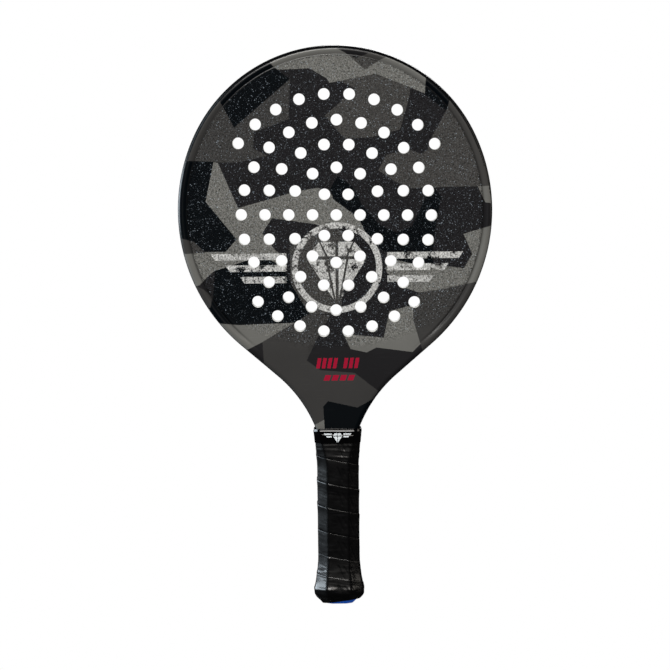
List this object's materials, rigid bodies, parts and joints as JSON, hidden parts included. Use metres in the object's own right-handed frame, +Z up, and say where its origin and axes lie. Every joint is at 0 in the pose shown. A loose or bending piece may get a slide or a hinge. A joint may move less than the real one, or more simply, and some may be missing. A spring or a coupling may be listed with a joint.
{
  "type": "platform tennis paddle",
  "caption": "Perforated foam-core paddle with a rounded head, raised rim bead, short throat, wound grip, finishing tape and flared butt cap.",
  "frame": {"origin": "middle of the flat end face of the butt cap", "axes": "+Z up the handle to the head, +X to the right of somebody facing the front hitting face, front hitting face towards -Y"},
  "size_m": [0.2566, 0.0358, 0.4572],
  "materials": {
    "printed_skin": "printed composite skin, gritty on the faces, clear coated on the bead",
    "carbon_hoop": "moulded composite tube",
    "tube_foam": "light rigid foam",
    "core_foam": "pale soft foam, drilled",
    "throat_filler": "rigid filler",
    "pallet_foam": "rigid moulded foam",
    "cap_plastic": "blue moulded plastic, satin",
    "staple_steel": "zinc plated wire",
    "underlay_felt": "thin felt",
    "grip_leather": "smooth black synthetic leather",
    "tape": "black glossy stretch tape"
  },
  "bodies": {
    "root": {"front_shell": "printed_skin", "rear_shell": "printed_skin", "frame_tube": "carbon_hoop", "tube_foam": "tube_foam", "foam_core": "core_foam", "throat_insert": "throat_filler", "shaft_spacer": "throat_filler", "front_pallet": "pallet_foam", "rear_pallet": "pallet_foam", "butt_cap": "cap_plastic", "butt_staples": "staple_steel", "grip_tack": "staple_steel", "grip_underlay": "underlay_felt", "grip_wrap": "grip_leather", "finishing_tape": "tape"}
  },
  "joints": []
}
